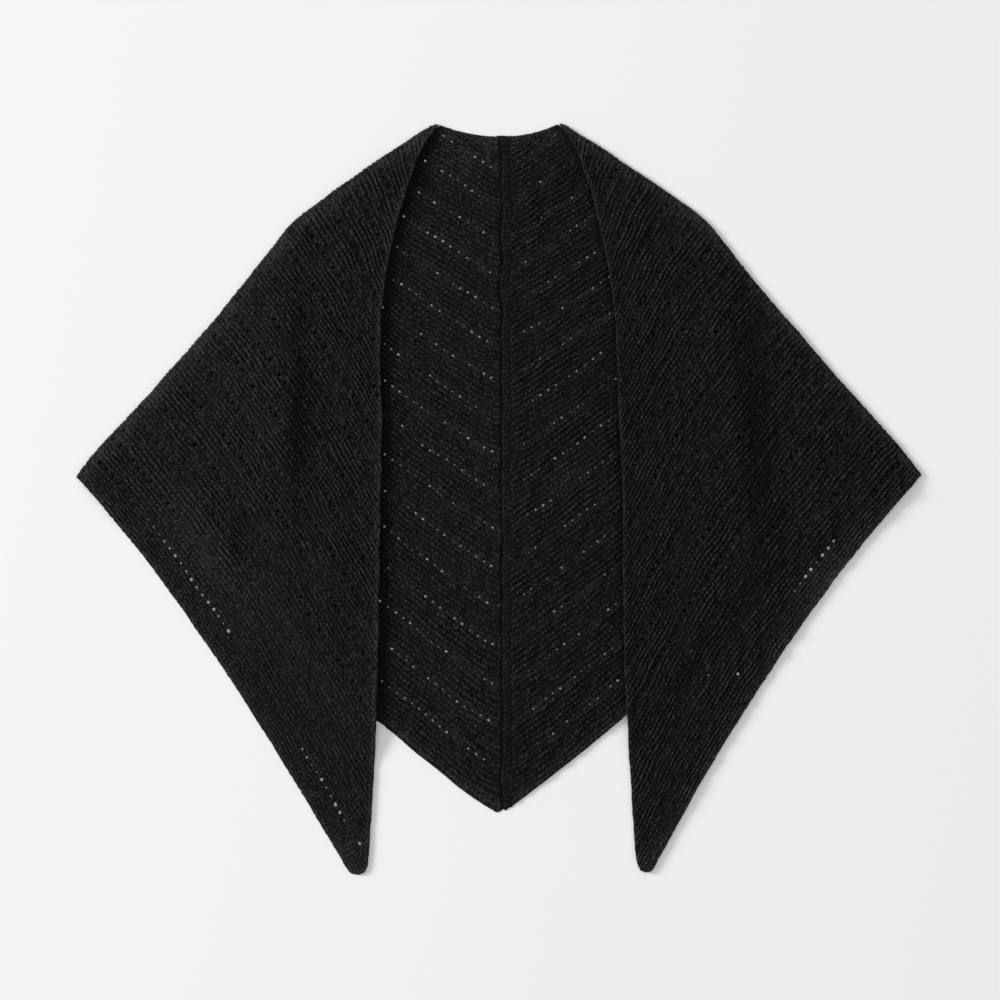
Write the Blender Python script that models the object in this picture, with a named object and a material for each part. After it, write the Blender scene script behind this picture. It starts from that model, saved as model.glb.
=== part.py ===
"""Triangular shawl in garter stitch, laid out flat. Its body lies on the surface with the point towards -Y, and its
two wings are folded over the body along the shoulder lines, so that their inner edges hang beside the middle rib.
Rows of knitting are numbered from the neck down. Each runs parallel to the lower hem, in a chevron."""
import math
from collections import namedtuple

import bmesh
import bpy
import numpy as np

MM = 0.001
WALL = 3.0 * MM  # thickness of the knitting
SEAM = 0.3 * MM  # gap between two panels
LAID_GAP = 0.6 * MM  # between the body and a wing that lies on it
FOLD_RADIUS = 4.0 * MM  # outer radius of the rolled fold at the shoulder line
FOLD_SETTLES = 25.0 * MM  # length over which a wing comes down from its fold
FLAP = 12.0 * MM  # how far the lower side of the fold reaches in under the wing
NECK_SKEW = 14.0 * MM  # the flap's end follows the neckline instead of the fold's normal
NECK_SKEW_ROWS = 8.0  # rows over which that ends
EDGE_LIFT = 2.2 * MM  # inner edges of the wings stand a little off the body
EDGE_LIFT_WIDTH = 22.0 * MM
HEM_OVERHANG = 10.0 * MM  # a wing stays level this far past the body's hem
HEM_DROP = 24.0 * MM  # and comes down to the surface over this length
ROUNDING = 0.8 * MM  # bulge of a free edge
CENTRING = (0.3 * MM, 1.75 * MM, 0.0)  # brings the middle of the laid shape to the origin
TIP_RADIUS = {"left": 12.1 * MM, "right": 9.6 * MM}
HEM_BOW = {"left": 13.0 * MM, "right": 17.0 * MM}  # the wing's hem is hollow by this much
HEM_BOW_SKEW = {"left": 0.35, "right": 0.1}

FIRST_ROW = 6.3  # first row that crosses the fold
LAST_ROW = 109.3  # the hem
EYELET_FIRST = 7.0
EYELET_EVERY = 6.0
EYELET_ROWS = 17
CHANNEL_HALF = 0.7  # half width of an eyelet row, in rows
CHANNEL_DEPTH = 0.8 * MM
COLLAR_ROWS = (0.3, 3.0)  # rows of the body above the fold

RIB_LEFT = 1.65 * MM  # the middle rib stands to the right of the chevrons' apex
RIB_RIGHT = 11.55 * MM
RIB_CROWN = 0.7 * MM
RIB_GROOVE = 0.9 * MM
RIB_STEPS = 30
APEX_FIRST = 352.0 * MM  # height of the first eyelet row on the middle line
APEX_PITCH = 36.96 * MM  # from one eyelet row to the next there
APEX_GROWTH = 0.253 * MM  # which widens down the back
APEX_SOFT = 8.8 * MM  # the chevrons are blunt over this width
NECK_DEPTH = 396.0 * MM  # middle of the neckline

BODY_COLUMNS = 8
FLAP_COLUMNS = 1
FOLD_COLUMNS = 4
TIP_LOOK = 0.93  # place on the hem from which its direction at the tip is taken
TIP_LOOK_ROWS = 3.0  # and rows up the inner edge for the same
CHANNEL_FADE = 0.05  # eyelet rows fade out over this share of a wing's row at the fold
WING_PLACES = (0.0, 0.06, 0.14, 0.23, 0.33, 0.43, 0.53, 0.63, 0.73, 0.83, 0.92, 1.0)

# Where a row of knitting crosses the fold and where it ends at the inner edge, mm from the middle
Section = namedtuple("Section", "row fold_x fold_y edge_x edge_y")
WINGS = {
    "left": (
        Section(6.3, -73.7, 408.7, -73.7, 401.0),
        Section(9, -87.7, 401.6, -86.8, 383.1),
        Section(13, -107.1, 389.0, -99.0, 351.9),
        Section(19, -136.0, 369.5, -113.5, 303.8),
        Section(25, -164.7, 349.7, -123.5, 254.6),
        Section(32, -197.9, 326.4, -130.6, 196.6),
        Section(39, -229.5, 301.0, -130.9, 138.0),
        Section(46, -252.4, 272.5, -129.8, 79.4),
        Section(55, -281.7, 235.4, -130.9, 4.1),
        Section(67, -321.8, 186.9, -132.8, -96.3),
        Section(79, -363.3, 139.4, -134.2, -196.8),
        Section(91, -405.5, 92.7, -139.6, -297.1),
        Section(103, -448.3, 46.4, -146.1, -397.3),
        Section(109.3, -464.8, 25.3, -150.0, -436.7),
    ),
    "right": (
        Section(6.3, 71.5, 409.2, 71.5, 401.5),
        Section(9, 84.8, 401.0, 84.8, 383.8),
        Section(13, 104.2, 388.6, 97.5, 353.1),
        Section(19, 133.2, 369.5, 110.0, 304.8),
        Section(25, 161.8, 350.1, 119.5, 255.9),
        Section(32, 195.6, 327.9, 127.3, 198.2),
        Section(39, 227.2, 303.0, 130.3, 140.1),
        Section(46, 250.8, 274.6, 132.1, 81.9),
        Section(55, 280.4, 237.5, 135.9, 7.2),
        Section(67, 321.6, 189.4, 136.5, -92.6),
        Section(79, 363.4, 141.7, 138.1, -192.3),
        Section(91, 405.1, 94.1, 142.8, -291.9),
        Section(103, 446.9, 46.5, 149.6, -391.2),
        Section(109.3, 464.2, 25.3, 157.3, -430.1),
    ),
}

# Soft folds of the wings, mm from the middle: centre, half length, half width, height, lean from upright in degrees
Swell = namedtuple("Swell", "x y length width height lean")
SWELLS = {
    "left": (
        Swell(-262, 110, 150, 26, 3.4, 4),
        Swell(-198, -75, 90, 24, 2.4, -8),
        Swell(-345, 40, 80, 34, 1.8, 35),
    ),
    "right": (
        Swell(236, 20, 210, 28, 3.2, -6),
        Swell(330, 60, 110, 34, 2.2, -30),
        Swell(180, -190, 80, 22, 1.8, 6),
    ),
}

COLOURS = {
    "back_left": (0.0120, 0.0118, 0.0115),
    "back_right": (0.0115, 0.0113, 0.0110),
    "front_left": (0.0130, 0.0128, 0.0124),
    "front_right": (0.0110, 0.0108, 0.0106),
    "middle_rib": (0.0125, 0.0123, 0.0119),
}


def smooth_step(value):
    """0 below 0, 1 above 1, with a soft start and end."""
    held = np.clip(value, 0.0, 1.0)
    return held * held * (3.0 - 2.0 * held)


def along(side, column, row):
    """Value of a column of the wing's table at any row, in metres, through a smooth curve."""
    table = WINGS[side]
    rows = np.array([section.row for section in table])
    values = np.array([getattr(section, column) for section in table]) * MM
    slopes = np.gradient(values, rows)
    place = np.clip(np.searchsorted(rows, row, side="right") - 1, 0, len(rows) - 2)
    span = rows[place + 1] - rows[place]
    t = (row - rows[place]) / span
    start = (1 + 2 * t) * (1 - t) ** 2 * values[place] + t * (1 - t) ** 2 * span * slopes[place]
    end = t * t * (3 - 2 * t) * values[place + 1] - t * t * (1 - t) * span * slopes[place + 1]
    return start + end


def fold_point(side, row):
    return np.array([along(side, "fold_x", row), along(side, "fold_y", row)])


def edge_point(side, row):
    return np.array([along(side, "edge_x", row), along(side, "edge_y", row)])


def fold_frame(side, row):
    """Unit vectors at the fold: towards the neck along it, and inwards across it."""
    step = 0.4
    low = min(row + step, LAST_ROW)
    high = max(row - step, FIRST_ROW)
    run = fold_point(side, high) - fold_point(side, low)
    run = run / np.linalg.norm(run)
    inward = np.array([run[1], -run[0]]) * (1.0 if side == "left" else -1.0)
    return run, inward


def flap_end(side, row, past=0.0):
    """Where the lower side of the fold meets the body, and the same point moved inwards by past."""
    run, inward = fold_frame(side, row)
    skew = NECK_SKEW * (1.0 - smooth_step((row - FIRST_ROW) / NECK_SKEW_ROWS))
    return fold_point(side, row) + inward * (FLAP + past) + run * skew


def apex_y(row):
    """Height on the middle line at which the two sides of a chevron would meet."""
    repeat = (row - EYELET_FIRST) / EYELET_EVERY
    return APEX_FIRST - APEX_PITCH * repeat - APEX_GROWTH * repeat * repeat


def channel(row):
    """1 in the middle of an eyelet row and 0 outside it."""
    nearest = round((row - EYELET_FIRST) / EYELET_EVERY)
    if nearest < 0 or nearest >= EYELET_ROWS:
        return 0.0
    off = abs(row - EYELET_FIRST - nearest * EYELET_EVERY)
    return max(0.0, 1.0 - off / CHANNEL_HALF)


def knit_rows():
    """Row numbers that the grids use: three for each eyelet row and one between two of them."""
    rows = []
    for number in range(EYELET_ROWS):
        middle = EYELET_FIRST + number * EYELET_EVERY
        rows += [middle - CHANNEL_HALF, middle, middle + CHANNEL_HALF, middle + EYELET_EVERY / 2]
    return rows + [LAST_ROW]


def body_end(side, row):
    """Outer end of a row of the body: on the neckline above the fold, and at the flap below it."""
    if row >= FIRST_ROW:
        return flap_end(side, row, SEAM)
    corner = flap_end(side, FIRST_ROW, SEAM)
    start = RIB_LEFT - SEAM if side == "left" else RIB_RIGHT + SEAM
    share = row / FIRST_ROW
    x = start + (corner[0] - start) * share
    rise = (x / corner[0]) ** 2 * (corner[1] - NECK_DEPTH)
    return np.array([x, NECK_DEPTH + rise])


def chevron_y(side, row, x):
    """Height of a row of the body at x. It ends at body_end and is blunt at the middle line."""
    end = body_end(side, row)
    start = apex_y(row)
    slope = (end[1] - start) / math.hypot(end[0], APEX_SOFT)
    return start + slope * math.hypot(x, APEX_SOFT)


def body_panel(side):
    """Upper and lower points of one half of the body, from the rib outwards and from the neck down."""
    start = RIB_LEFT - SEAM if side == "left" else RIB_RIGHT + SEAM
    rows = list(COLLAR_ROWS) + knit_rows()
    upper = np.zeros((len(rows), BODY_COLUMNS + 1, 3))
    for j, row in enumerate(rows):
        end = body_end(side, row)
        for i in range(BODY_COLUMNS + 1):
            x = start + (end[0] - start) * i / BODY_COLUMNS
            upper[j, i] = (x, chevron_y(side, row, x), WALL - CHANNEL_DEPTH * channel(row))
    lower = upper.copy()
    lower[:, :, 2] = 0.0
    return rows, upper, lower


def past_body_hem(side, point):
    """Distance of a point beyond the body's hem, negative over the body."""
    tip = fold_point(side, LAST_ROW)
    apex = np.array([0.0, apex_y(LAST_ROW)])
    run = (apex - tip) / np.linalg.norm(apex - tip)
    out = np.array([run[1], -run[0]]) * (1.0 if side == "left" else -1.0)
    return float(np.dot(point - tip, out))


def swell_height(side, point):
    """Height of the soft folds at a point."""
    total = 0.0
    for swell in SWELLS[side]:
        lean = math.radians(swell.lean)
        offset = point / MM - np.array([swell.x, swell.y])
        across = offset[0] * math.cos(lean) - offset[1] * math.sin(lean)
        up = offset[0] * math.sin(lean) + offset[1] * math.cos(lean)
        total += swell.height * MM * math.exp(-((across / swell.width) ** 2) - (up / swell.length) ** 2)
    return total


def round_tip(side, point):
    """Draws the sharp corner of the hem and the inner edge in to a round tip."""
    corner = edge_point(side, LAST_ROW)
    up_edge = edge_point(side, LAST_ROW - TIP_LOOK_ROWS) - corner
    up_hem = wing_plan(side, LAST_ROW, TIP_LOOK) - corner
    up_edge = up_edge / np.linalg.norm(up_edge)
    up_hem = up_hem / np.linalg.norm(up_hem)
    bisector = (up_edge + up_hem) / np.linalg.norm(up_edge + up_hem)
    half = math.acos(float(np.dot(up_edge, bisector)))
    centre = corner + bisector * TIP_RADIUS[side] / math.sin(half)
    offset = point - centre
    reach = np.linalg.norm(offset)
    if reach < 1e-9:
        return point
    way = offset / reach
    if float(np.dot(way, -bisector)) <= math.sin(half):
        return point
    normals = []
    for edge in (up_edge, up_hem):
        across = edge * float(np.dot(edge, bisector)) - bisector
        normals.append(across / np.linalg.norm(across))
    pull = max(float(np.dot(way, normal)) for normal in normals)
    return centre + offset * pull


def wing_plan(side, row, place):
    """Plan position of a wing's point: place runs from the fold to the inner edge."""
    _, inward = fold_frame(side, row)
    start = fold_point(side, row) + inward * FOLD_RADIUS
    end = edge_point(side, row)
    chord = end - start
    last = np.linalg.norm(edge_point(side, LAST_ROW) - fold_point(side, LAST_ROW))
    across = np.array([-chord[1], chord[0]]) * (1.0 if side == "left" else -1.0)
    bow = HEM_BOW[side] / last * 4.0 * place * (1.0 - place) * (1.0 + HEM_BOW_SKEW[side] * (1.0 - 2.0 * place))
    return start + chord * place + across * bow


def wing_floor(side, row, place, point):
    """Height of a wing's lower face: it comes down from the fold, lies on the body and drops past its hem."""
    length = np.linalg.norm(edge_point(side, row) - fold_point(side, row))
    laid = WALL + LAID_GAP
    at_fold = 2.0 * FOLD_RADIUS - WALL - laid
    from_fold = place * length
    from_edge = (1.0 - place) * length
    height = laid + at_fold * math.exp(-((from_fold / FOLD_SETTLES) ** 2))
    height += swell_height(side, point) * smooth_step(from_fold / (2.0 * FOLD_SETTLES))
    height += EDGE_LIFT * math.exp(-((from_edge / EDGE_LIFT_WIDTH) ** 2)) * smooth_step(from_fold / FOLD_SETTLES)
    drop = smooth_step((past_body_hem(side, point) - HEM_OVERHANG) / HEM_DROP)
    return height * (1.0 - float(drop))


def wing_panel(side):
    """Outer and inner points of one wing, from its flap round the fold to the inner edge."""
    rows = knit_rows()
    columns = FLAP_COLUMNS + FOLD_COLUMNS + len(WING_PLACES)
    outer = np.zeros((len(rows), columns, 3))
    inner = np.zeros_like(outer)
    for j, row in enumerate(rows):
        _, inward = fold_frame(side, row)
        cut = CHANNEL_DEPTH * channel(row)
        flap = flap_end(side, row)
        outer[j, 0] = (*flap, 0.0)
        inner[j, 0] = (*flap, WALL)
        centre = fold_point(side, row) + inward * FOLD_RADIUS
        for i in range(FOLD_COLUMNS):
            turn = math.pi * i / FOLD_COLUMNS
            away = -inward * math.sin(turn)
            for grid, radius in ((outer, FOLD_RADIUS), (inner, FOLD_RADIUS - WALL)):
                grid[j, 1 + i] = (*(centre + away * radius), FOLD_RADIUS - radius * math.cos(turn))
        for i, place in enumerate(WING_PLACES):
            plan = wing_plan(side, row, place)
            floor = wing_floor(side, row, place, plan)
            plan = round_tip(side, plan)
            inner[j, FOLD_COLUMNS + 1 + i] = (*plan, floor)
            outer[j, FOLD_COLUMNS + 1 + i] = (*plan, floor + WALL - cut * min(1.0, place / CHANNEL_FADE))
    return outer, inner


def rib_panel():
    """Upper and lower points of the middle rib, from the neckline to the point."""
    across = ((0.0, -RIB_GROOVE), (0.22, RIB_CROWN), (0.66, RIB_CROWN), (0.82, -RIB_GROOVE), (1.0, 0.0))
    upper = np.zeros((RIB_STEPS + 1, len(across), 3))
    for i, (share, rise) in enumerate(across):  # share of the rib's width, and height above the wall
        x = RIB_LEFT + (RIB_RIGHT - RIB_LEFT) * share
        side = "left" if share < 0.5 else "right"
        bottom = chevron_y(side, LAST_ROW, x)
        for j in range(RIB_STEPS + 1):
            y = NECK_DEPTH + (bottom - NECK_DEPTH) * j / RIB_STEPS
            upper[j, i] = (x, y, WALL + rise)
    lower = upper.copy()
    lower[:, :, 2] = 0.0
    return upper, lower


def perimeter(height, width):
    """Grid places round the border of a panel, in order."""
    ring = [(0, i) for i in range(width)]
    ring += [(j, width - 1) for j in range(1, height)]
    ring += [(height - 1, i) for i in range(width - 2, -1, -1)]
    ring += [(j, 0) for j in range(height - 2, 0, -1)]
    return ring


def make_panel(name, outer, inner, bulge):
    """Closes two point grids into one wall. bulge says how round the border is at each place."""
    outer = outer + np.array(CENTRING)
    inner = inner + np.array(CENTRING)
    height, width = outer.shape[:2]
    middle = (outer + inner) / 2.0
    mesh = bmesh.new()
    top = [[mesh.verts.new(outer[j, i]) for i in range(width)] for j in range(height)]
    low = [[mesh.verts.new(inner[j, i]) for i in range(width)] for j in range(height)]
    for j in range(height - 1):
        for i in range(width - 1):
            mesh.faces.new((top[j][i], top[j + 1][i], top[j + 1][i + 1], top[j][i + 1]))
            mesh.faces.new((low[j][i], low[j][i + 1], low[j + 1][i + 1], low[j + 1][i]))
    ring = perimeter(height, width)
    rim = []
    for j, i in ring:
        point = middle[j, i].copy()
        for back, amount in (
            ((1 if j == 0 else height - 2, i), bulge(j, i)[0] if j in (0, height - 1) else 0.0),
            ((j, 1 if i == 0 else width - 2), bulge(j, i)[1] if i in (0, width - 1) else 0.0),
        ):
            if amount:
                out = middle[j, i] - middle[back]
                point += out / np.linalg.norm(out) * amount
        rim.append(mesh.verts.new(point))
    for k, (j, i) in enumerate(ring):
        following = (k + 1) % len(ring)
        j2, i2 = ring[following]
        mesh.faces.new((top[j][i], top[j2][i2], rim[following], rim[k]))
        mesh.faces.new((rim[k], rim[following], low[j2][i2], low[j][i]))
    bmesh.ops.triangulate(mesh, faces=mesh.faces[:])
    bmesh.ops.recalc_face_normals(mesh, faces=mesh.faces[:])
    if mesh.calc_volume(signed=True) < 0:
        bmesh.ops.reverse_faces(mesh, faces=mesh.faces[:])
    data = bpy.data.meshes.new(name)
    mesh.to_mesh(data)
    mesh.free()
    shape = bpy.data.objects.new(name, data)
    bpy.context.scene.collection.objects.link(shape)
    material = bpy.data.materials.new(f"cashmere_{name}")
    material.use_nodes = True
    shader = material.node_tree.nodes["Principled BSDF"]
    shader.inputs["Base Color"].default_value = (*COLOURS[name], 1.0)
    shader.inputs["Roughness"].default_value = 0.95
    data.materials.append(material)


def main():
    for item in list(bpy.data.objects):
        bpy.data.objects.remove(item, do_unlink=True)
    for side in ("left", "right"):
        rows, upper, lower = body_panel(side)
        columns = BODY_COLUMNS + 1

        def body_bulge(j, i, rows=rows, columns=columns):
            on_neck = i == columns - 1 and rows[j] < FIRST_ROW
            return (ROUNDING, ROUNDING if on_neck else 0.0)

        make_panel(f"back_{side}", upper, lower, body_bulge)
        outer, inner = wing_panel(side)
        make_panel(f"front_{side}", outer, inner, lambda j, i: (ROUNDING, 0.0 if i == 0 else ROUNDING))
    upper, lower = rib_panel()
    make_panel("middle_rib", upper, lower, lambda j, i: (ROUNDING, 0.0))


main()
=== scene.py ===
"""Looks of a triangular cashmere shawl in garter stitch, laid flat with its two wings folded over its body.
Rows of knitting are numbered from the neck down. Each runs parallel to the lower hem, in a chevron."""
import math
from collections import namedtuple
from functools import lru_cache, partial

import bmesh
import bpy
import numpy as np
from bpy.props import FloatProperty, FloatVectorProperty, IntProperty, PointerProperty
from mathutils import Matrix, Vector


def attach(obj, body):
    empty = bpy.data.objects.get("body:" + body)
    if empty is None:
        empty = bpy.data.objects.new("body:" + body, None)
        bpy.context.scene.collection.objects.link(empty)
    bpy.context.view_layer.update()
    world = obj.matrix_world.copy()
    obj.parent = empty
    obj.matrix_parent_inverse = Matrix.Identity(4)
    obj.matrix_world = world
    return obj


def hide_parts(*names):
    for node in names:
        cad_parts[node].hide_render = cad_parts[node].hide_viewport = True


bl_info = {
    "name": "Garter stitch shawl",
    "version": (1, 0, 0),
    "blender": (4, 5, 0),
    "location": "3D View > Sidebar > Shawl",
    "description": "Knits a folded triangular shawl over its plain solids",
    "category": "Add Mesh",
}

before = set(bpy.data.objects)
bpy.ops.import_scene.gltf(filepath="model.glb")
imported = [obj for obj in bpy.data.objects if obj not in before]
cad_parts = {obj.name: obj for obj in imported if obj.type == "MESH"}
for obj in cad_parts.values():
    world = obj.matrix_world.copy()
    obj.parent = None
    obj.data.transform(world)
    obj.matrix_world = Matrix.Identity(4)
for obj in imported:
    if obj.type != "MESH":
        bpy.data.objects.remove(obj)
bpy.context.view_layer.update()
MM = 0.001

# Cut and lie of the cloth, close to the solids'
FOLD_RADIUS = 4.0 * MM
FOLD_WALL = 3.0 * MM
FOLD_SETTLES = 25.0 * MM
LAID_HEIGHT = 3.6 * MM  # underside of a wing above the surface, over the body
EDGE_LIFT = {"left": 2.2 * MM, "right": 1.4 * MM}
EDGE_LIFT_WIDTH = 14.0 * MM
EDGE_RIM = 0.9 * MM  # the inner edge is a firm selvedge
EDGE_RIM_WIDTH = 5.0 * MM
EDGE_RIM_ROWS = 3.0
HEM_OVERHANG = 2.0 * MM
HEM_DROP = 40.0 * MM
CENTRING = (0.3 * MM, 1.75 * MM)
CAMERA_DOWN = 3.3 * MM
INWARD = {"left": 1.0, "right": -1.0}  # sign of the way in from a fold
TIP_RADIUS = {"left": 12.1 * MM, "right": 9.6 * MM}
TIP_LOOK = 0.93  # the tip's two edges are straight from here on
TIP_LOOK_ROWS = 3.0
HEM_BOW = {"left": 13.6 * MM, "right": 17.7 * MM}  # how hollow a wing's hem is
HEM_BOW_SKEW = {"left": 0.35, "right": 0.1}
FIRST_ROW = 5.9
LAST_ROW = {"left": 110.0, "right": 109.55}
EYELET_FIRST = 7
EYELET_EVERY = 6
EYELET_ROWS = 17
APEX_FIRST = 352.0 * MM
APEX_PITCH = 36.96 * MM
APEX_GROWTH = 0.253 * MM
APEX_SOFT = 8.8 * MM
POINT_SOFT = 5.0 * MM  # the hem is rounder still at the back point
POINT_SOFT_ROWS = 10.0
NOTCH = 2.6 * MM  # small notch in the point, beside the rib
NOTCH_WIDTH = 2.2 * MM
NOTCH_ROWS = 1.5
LOBE = 1.5 * MM  # the hem hangs a little lower on each side of it
LOBE_X = -5.0 * MM
LOBE_WIDTH = 3.0 * MM
RIB_LOBE = 2.0 * MM
NECK_DEPTH = 396.0 * MM
RIB_EDGE = {"left": 1.65 * MM, "right": 11.55 * MM}

# How the knitting is drawn
FLAP = 4.4 * MM  # the fold's lower side ends here, under the roll
NECK_SKEW = 2.0 * MM
NECK_SKEW_ROWS = 8.0
NECK_START = 0.3  # first line of the body
JOIN = 0.15 * MM  # gap between two panels under a fold
RIB_TUCK = 0.3 * MM  # the rib's edges are knitted into the panels beside it
REST = 0.05 * MM  # underside above the surface
CLOTH = 1.7 * MM  # wall under the ridges
EDGE_THIN = 0.42  # share of the wall left at a hem
SELVEDGE_THIN = 0.85  # and at an inner edge
EDGE_ROUND = 4.5 * MM
EDGE_ROUND_ROWS = 0.9
EDGE_ROUGH = 0.22 * MM
ROLL_OUT = 0.95 * MM  # the fold's outer side bulges past its solid
NECK_FOLD = 0.65  # share of the fold's radius left at the neck
NECK_FOLD_ROWS = 1.2
FOLD_DROP = 3.2 * MM  # the upper side slopes down to the fold
FOLD_PRESS = 0.8 * MM  # and the fold itself is pressed to a thin edge
FOLD_DROP_WIDTH = 22.0 * MM
LEAST_WALL = 0.25 * MM
# Share of the stitches' depth left at a wing's fold, at its edge and at the body's end, and the width it returns over
RELIEF_FADES = {"fold": (0.55, 6.0 * MM), "edge": (0.2, 7.0 * MM), "body": (0.2, 34.0 * MM)}
RELIEF_PATCHES = (0.78, 0.38)  # mean relief, and how much it differs from place to place
FIRST_STEP = 0.04  # rows between the lines at the first and the last row
GROOVE = {"left": (3.4 * MM, 0.0), "right": (2.6 * MM, 0.6)}  # width beside the rib, and the wall left in it
RIB_CLEAR = {"left": 8.0 * MM, "right": 11.0 * MM}  # no eyelet so near the rib
NAP_WIDTH = 15.0 * MM  # raised hairs along edges and folds
NAP_ROWS = 4.0
HEM_NAP = 0.7
NECK_NAP = 2.1
NECK_NAP_ROWS = 6.5
FOLD_FUZZ_AND_HIGHLIGHT = {"left": 0.9, "right": 0.4}  # raised hairs at the folds, and a painted highlight that makes the left fold, which faces the light, brighter
FOLD_FUZZ_WIDTH = 9.0 * MM
PHASES = (-0.42, -0.25, -0.08, 0.08, 0.25, 0.42)  # lines across a row of eyelets, in rows
RIDGE_PHASES = (-0.4, -0.2, 0.0, 0.2, 0.4)  # and across a plain ridge
HOLE_LINES = (1, 4)  # the lines between which an eyelet opens
EYELET_SINK = 0.15 * MM
EYELET_RELIEF = 0.5
EYELET_SIZES = (0.48, 0.97)  # least and largest, as shares of the named radius
EYELET_WIDTHS = (0.95, 1.3)
FEWER_OPEN = 0.24  # the right half's nap hides more of its eyelets
SMALLER_OPEN = 0.13

Section = ("row", "fold_x", "fold_y", "edge_x", "edge_y")  # mm from the middle
WINGS = {
    "left": (
        (6.3, -72.3, 411.0, -72.6, 403.3),
        (9, -87.7, 401.6, -85.0, 383.1),
        (13, -107.1, 389.0, -97.0, 351.9),
        (19, -136.0, 369.5, -111.7, 303.8),
        (25, -164.7, 349.7, -123.1, 254.6),
        (32, -197.9, 326.4, -130.6, 196.6),
        (39, -229.5, 301.0, -130.9, 138.0),
        (46, -252.4, 272.5, -129.8, 79.4),
        (55, -281.7, 235.4, -130.9, 4.1),
        (67, -321.8, 186.9, -132.8, -96.3),
        (79, -363.3, 139.4, -134.2, -196.8),
        (91, -405.5, 92.7, -138.4, -297.1),
        (103, -448.3, 46.4, -144.7, -397.3),
        (109.3, -464.8, 25.3, -148.7, -436.7),
    ),
    "right": (
        (6.3, 70.4, 411.4, 70.7, 403.7),
        (9, 84.8, 401.0, 82.2, 383.8),
        (13, 104.2, 388.6, 94.9, 353.1),
        (19, 133.2, 369.5, 107.6, 304.8),
        (25, 161.8, 350.1, 118.1, 255.9),
        (32, 195.6, 327.9, 126.0, 198.2),
        (39, 227.2, 303.0, 129.0, 140.1),
        (46, 250.8, 274.6, 130.8, 81.9),
        (55, 280.4, 237.5, 134.6, 7.2),
        (67, 321.6, 189.4, 135.2, -92.6),
        (79, 363.4, 141.7, 136.9, -192.3),
        (91, 405.1, 94.1, 142.8, -291.9),
        (103, 446.9, 46.5, 149.6, -391.2),
        (109.3, 464.2, 25.3, 157.3, -430.1),
    ),
}

# Places across the rib, its height there as a share of the cloth's wall, and the place in a wale
RIB_PROFILE = np.array((
    (0.00, 0.30, -0.50), (0.08, 0.60, -0.38), (0.20, 1.00, -0.12), (0.32, 1.15, 0.14), (0.44, 1.20, 0.42),
    (0.56, 1.20, -0.42), (0.68, 1.20, -0.14), (0.80, 1.15, 0.12), (0.92, 1.05, 0.38), (1.00, 0.95, 0.50),
))

# Middle, half length, widths of the gentle and the steep side, height (mm) and lean (degrees) of each soft fold
SWELLS = {
    "left": (
        (-236, 96, 108, 92, 19, 8.0, 1),
        (-298, -38, 28, 40, 15, 3.4, 5),
        (-190, -90, 90, 60, 26, 2.2, 4),
    ),
    "right": (
        (254, 72, 165, 220, 32, 8.0, -5),
        (372, 40, 60, 60, 30, 2.0, -30),
    ),
}
BODY_BOW = 56.0 * MM  # the body's hem draws in under the wings
BODY_BOW_ROWS = 40.0
BODY_BOW_START = 80.0 * MM
WING_EDGE = 133.0 * MM  # x where the body's hem comes out from under a wing
HEM_OUT = {"left": 0.0, "right": 1.6 * MM}
HEM_LIFT = {"left": 0.0, "right": 1.9 * MM}  # the right hem curls up a little
HEM_LIFT_ROWS = 2.2
WEAK_ROWS = (62.0, 26.0)  # the left wing's relief weakens from this row on, over this many rows
RIGHT_HALF_PAINTED_SHADE = 0.07  # painted shade: the right half's yarn is darker and less grainy, as the light falls more weakly on it
TROUGH_PAINTED_SHADE = 0.75  # painted shade: darker colour in the valley on the steep side of a soft fold, which faces away from the light
TROUGH_SCALE = 2.33 / 8.0  # makes the deepest valley 1, beside a fold 8 mm high
WING_EDGE_PAINTED_SHADOW = {"left": (1.75, 10.5 * MM), "right": (1.1, 5.0 * MM)}  # painted shadow that a wing's inner edge casts on the body beside it: its strength and width

# Where an eyelet near a wing's hem stays open over the surface, by x in mm, and the rest are felted shut
OPEN_HEM_ROW = 103
OPEN_AT = {"left": ((-394, -297), (-219, -170)), "right": ((322, 373),)}

# Middle, length and width (mm), lean (degrees) and strength of each patch where the hairs stand up; the strip along the
# right wing's inner edge is a painted highlight, where that edge faces the light
WORN_AND_LIT = {
    "body_left": ((-46, 374, 34, 22, -20, 0.9), (-20, 250, 22, 10, -37, 0.4), (-60, -230, 40, 14, -37, 0.4)),
    "body_right": ((70, 20, 22, 7, 36, 1.3), (58, 392, 22, 14, 20, 0.8), (100, 190, 30, 8, 34, 0.4)),
    "wing_left": ((-330, -62, 100, 28, -57, 0.7), (-262, 125, 95, 20, 88, 0.3), (-238, 330, 60, 16, 40, 0.6),
                  (-158, -410, 44, 24, -80, 0.9)),
    "wing_right": ((360, -92, 56, 24, 52, 1.1), (80, 393, 24, 10, -50, 0.9), (107, 322, 60, 5, -73, 0.6),
                   (222, 306, 34, 24, -45, 0.7), (164, -400, 40, 22, 80, 0.6)),
}


# What the yarn shows on each piece: how far its loops lean, how much the rows (lighter ridges, and painted shade in the
# valleys between them), the dark dots between loops, the grain, the gaps and the bands of eyelets lighten it, where
# flecks show, and a base
LOOKS = {
    "rib": {"lean": 1.2, "wave": 0.05, "dots": -0.1, "grain": 1.94, "gap": -0.8, "band": -0.24, "open": (-0.9, 1.2),
            "base": 0.0},
    "body": {"lean": 0.5 * math.pi, "wave": 0.14, "dots": -0.5, "grain": 4.0, "gap": -2.0, "band": -0.24,
             "open": (-0.9, 1.2), "base": 0.0},
    "wing": {"lean": 0.5 * math.pi, "wave": 0.23, "dots": -0.5, "grain": 3.4, "gap": -2.0, "band": -0.06,
             "open": (-0.6, 0.95), "base": -0.13},
}


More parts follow.
